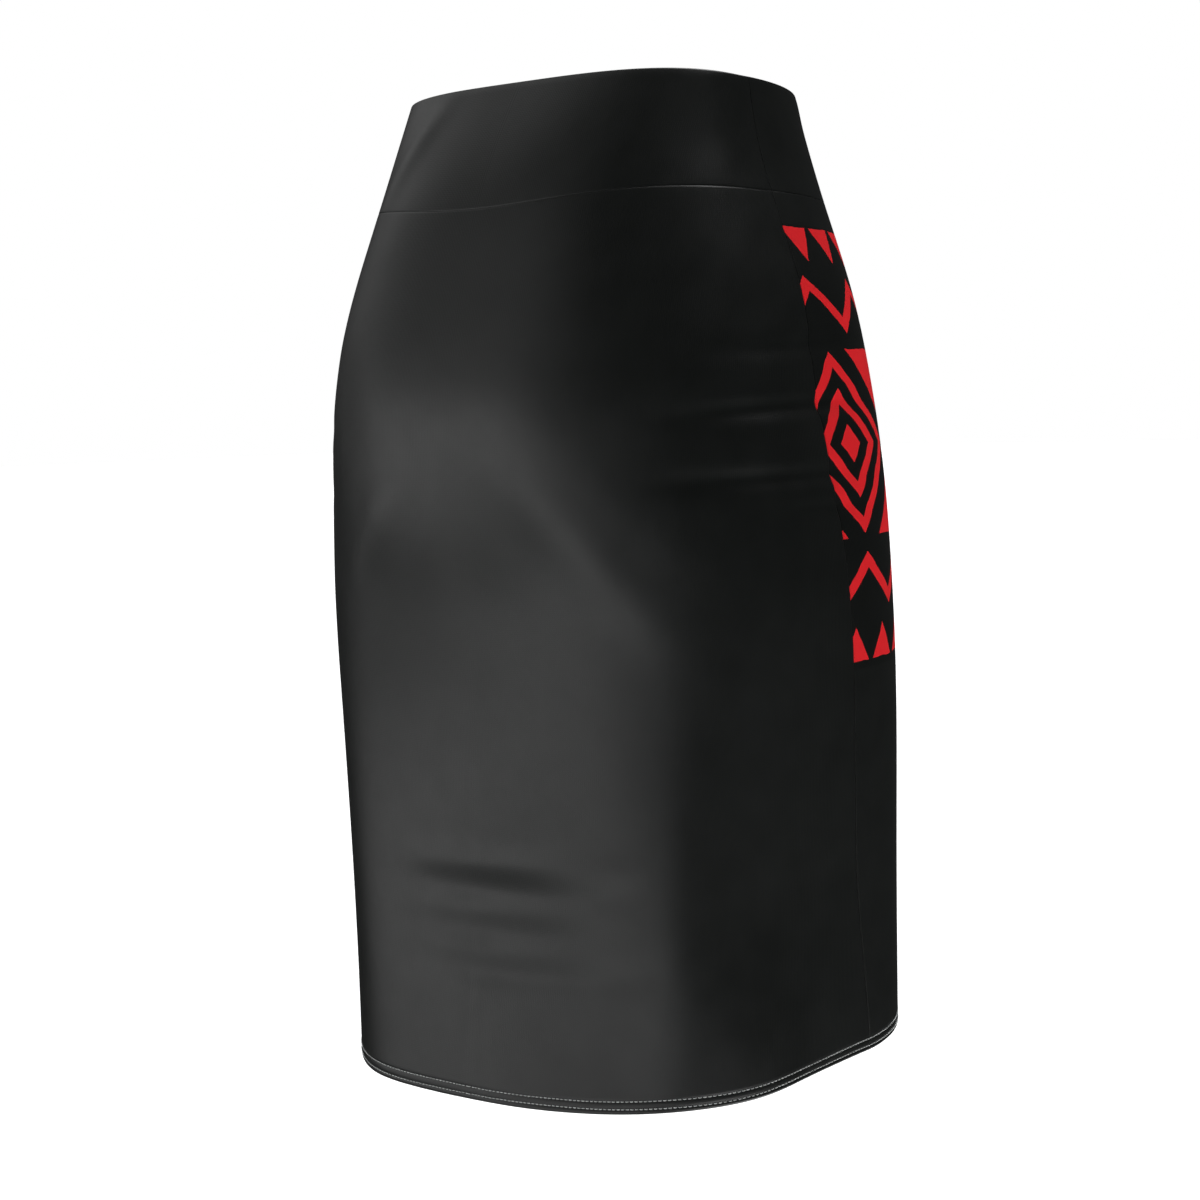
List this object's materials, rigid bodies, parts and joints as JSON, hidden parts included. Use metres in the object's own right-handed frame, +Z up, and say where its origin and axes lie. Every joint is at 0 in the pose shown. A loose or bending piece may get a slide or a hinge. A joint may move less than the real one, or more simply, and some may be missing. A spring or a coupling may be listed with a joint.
{
  "type": "pencil skirt",
  "caption": "Knee-length stretch-knit pencil skirt with a wide waistband and a turned-up hem, standing open in its worn shape, with a printed front.",
  "frame": {"origin": "middle of the waist opening, at the mean height of its edge, where the wearer's waist holds the skirt up", "axes": "+Z up along the skirt; -Y is the wearer's front, +Y the back; -X is the wearer's right side, +X the left"},
  "size_m": [0.3498, 0.2804, 0.5801],
  "materials": {
    "black_knit": "smooth, close polyester and elastane knit in soft black, with a low sheen",
    "printed_knit": "the same knit, with a red printed motif on black between the side seams",
    "grey_thread": "spun polyester sewing thread in pale grey, in the two rows round the hem",
    "black_thread": "spun polyester sewing thread in black, in the seams and their overlocked edges"
  },
  "bodies": {
    "root": {"back_panel": "black_knit", "front_panel": "printed_knit", "waistband_back": "black_knit", "waistband_front": "black_knit"}
  },
  "joints": []
}
